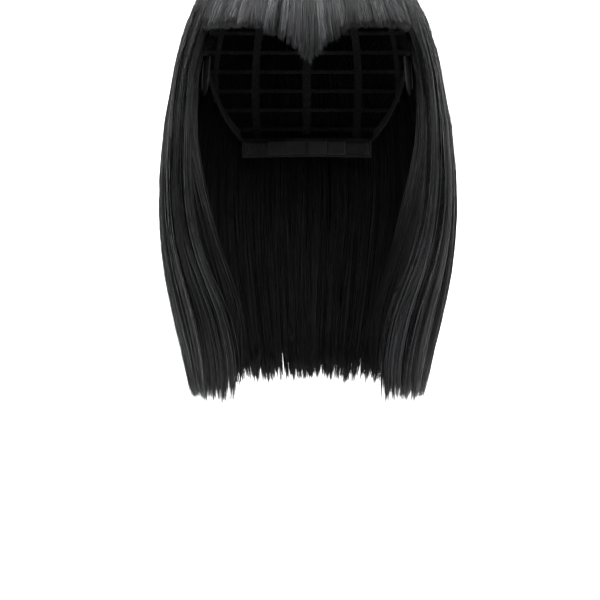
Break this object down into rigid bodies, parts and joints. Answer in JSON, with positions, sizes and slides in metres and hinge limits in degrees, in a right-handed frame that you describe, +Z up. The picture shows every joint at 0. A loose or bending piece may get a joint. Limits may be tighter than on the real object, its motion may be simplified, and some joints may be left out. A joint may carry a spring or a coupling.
{
  "type": "costume wig",
  "caption": "Black straight shoulder-length bob wig with a pointed fringe, hair wefts sewn on an adjustable stretch cap.",
  "frame": {"origin": "centre of the head's circumference plane, inside the cap, where the head sits", "axes": "+Z up to the crown, -Y towards the face opening and fringe, +X to the wearer's left"},
  "size_m": [0.2088, 0.2174, 0.337],
  "materials": {
    "hair_fibre": "satin synthetic fibre, straight, near black",
    "weft_track": "folded and overlocked fibre edge",
    "elastic_black": "ribbed woven elastic",
    "cap_net": "open hexagonal stretch net",
    "implanted_skin": "matte thin skin top",
    "loop_strip": "brushed loop pile",
    "hook_tab": "moulded hooks on a woven back",
    "stay_plastic": "bendable stay in a fabric sleeve"
  },
  "bodies": {
    "cap": {"crown_net": "cap_net", "crown_patch": "implanted_skin", "front_band": "elastic_black", "side_band_left": "elastic_black", "side_band_right": "elastic_black", "nape_band": "elastic_black", "back_tape_1": "elastic_black", "back_tape_2": "elastic_black", "back_tape_3": "elastic_black", "back_tape_4": "elastic_black", "back_tape_5": "elastic_black", "back_track_1": "weft_track", "back_track_2": "weft_track", "back_track_3": "weft_track", "back_track_4": "weft_track", "back_track_5": "weft_track", "back_track_6": "weft_track", "crown_track_1": "weft_track", "crown_track_2": "weft_track", "crown_track_3": "weft_track", "crown_track_4": "weft_track", "fringe_track_1": "weft_track", "fringe_track_2": "weft_track", "side_tracks_left": "weft_track", "side_tracks_right": "weft_track", "landing_strip_left": "loop_strip", "landing_strip_right": "loop_strip", "strap_anchor_left": "elastic_black", "strap_anchor_right": "elastic_black", "strap_left": "elastic_black", "strap_right": "elastic_black", "hair_crown": "hair_fibre"},
    "side_left": {"hair_side_left_outer": "hair_fibre", "hair_side_left_under": "hair_fibre"},
    "side_right": {"hair_side_right_outer": "hair_fibre", "hair_side_right_under": "hair_fibre"},
    "back": {"hair_back_outer": "hair_fibre", "hair_back_under": "hair_fibre"},
    "fringe_centre": {"hair_fringe_centre": "hair_fibre"},
    "fringe_left": {"hair_fringe_left": "hair_fibre"},
    "fringe_right": {"hair_fringe_right": "hair_fibre"},
    "adjuster_left": {"adjuster_tab_left": "hook_tab"},
    "adjuster_right": {"adjuster_tab_right": "hook_tab"},
    "ear_left": {"ear_tab_left": "elastic_black", "ear_stay_left": "stay_plastic"},
    "ear_right": {"ear_tab_right": "elastic_black", "ear_stay_right": "stay_plastic"}
  },
  "joints": [
    {"name": "side_left_swing", "type": "hinge", "parent": "cap", "child": "side_left", "pos_m": [0.0856, 0, 0.0252], "axis": [0, -1, 0], "range_deg": [0, 20], "stiffness_Nm_per_rad": 0.2, "springref_deg": -6.88},
    {"name": "side_right_swing", "type": "hinge", "parent": "cap", "child": "side_right", "pos_m": [-0.0856, 0, 0.0252], "axis": [0, 1, 0], "range_deg": [0, 20], "stiffness_Nm_per_rad": 0.2, "springref_deg": -6.88},
    {"name": "back_swing", "type": "hinge", "parent": "cap", "child": "back", "pos_m": [0, 0.1056, 0.0252], "axis": [1, 0, 0], "range_deg": [0, 20], "stiffness_Nm_per_rad": 0.3, "springref_deg": -8.59},
    {"name": "fringe_lift", "type": "hinge", "parent": "cap", "child": "fringe_centre", "pos_m": [0, -0.0886, 0.0484], "axis": [-1, 0, 0], "range_deg": [0, 14], "stiffness_Nm_per_rad": 0.02, "springref_deg": -11.46},
    {"name": "fringe_left_lift", "type": "hinge", "parent": "cap", "child": "fringe_left", "pos_m": [0.06131, -0.0552, 0.0484], "axis": [-0.6691, -0.7431, 0], "range_deg": [0, 14], "stiffness_Nm_per_rad": 0.02, "springref_deg": -11.46},
    {"name": "fringe_right_lift", "type": "hinge", "parent": "cap", "child": "fringe_right", "pos_m": [-0.06131, -0.0552, 0.0484], "axis": [-0.6691, 0.7431, 0], "range_deg": [0, 14], "stiffness_Nm_per_rad": 0.02, "springref_deg": -11.46},
    {"name": "adjuster_left_slide", "type": "hinge", "parent": "cap", "child": "adjuster_left", "pos_m": [0, 0.0335, -0.064], "axis": [0, 0, 1], "range_deg": [0, 13], "deforming": ["strap_left"]},
    {"name": "adjuster_right_slide", "type": "hinge", "parent": "cap", "child": "adjuster_right", "pos_m": [0, 0.0335, -0.064], "axis": [0, 0, -1], "range_deg": [0, 13], "deforming": ["strap_right"]},
    {"name": "ear_left_bend", "type": "hinge", "parent": "cap", "child": "ear_left", "pos_m": [0.07104, -0.02422, 0.0026], "axis": [-0.2588, -0.9659, 0], "range_deg": [-5, 8]},
    {"name": "ear_right_bend", "type": "hinge", "parent": "cap", "child": "ear_right", "pos_m": [-0.07104, -0.02422, 0.0026], "axis": [-0.2588, 0.9659, 0], "range_deg": [-5, 8]}
  ],
  "couplings": [
    {"joint": "fringe_left_lift", "follows": "fringe_lift", "ratio": 1},
    {"joint": "fringe_right_lift", "follows": "fringe_lift", "ratio": 1}
  ]
}
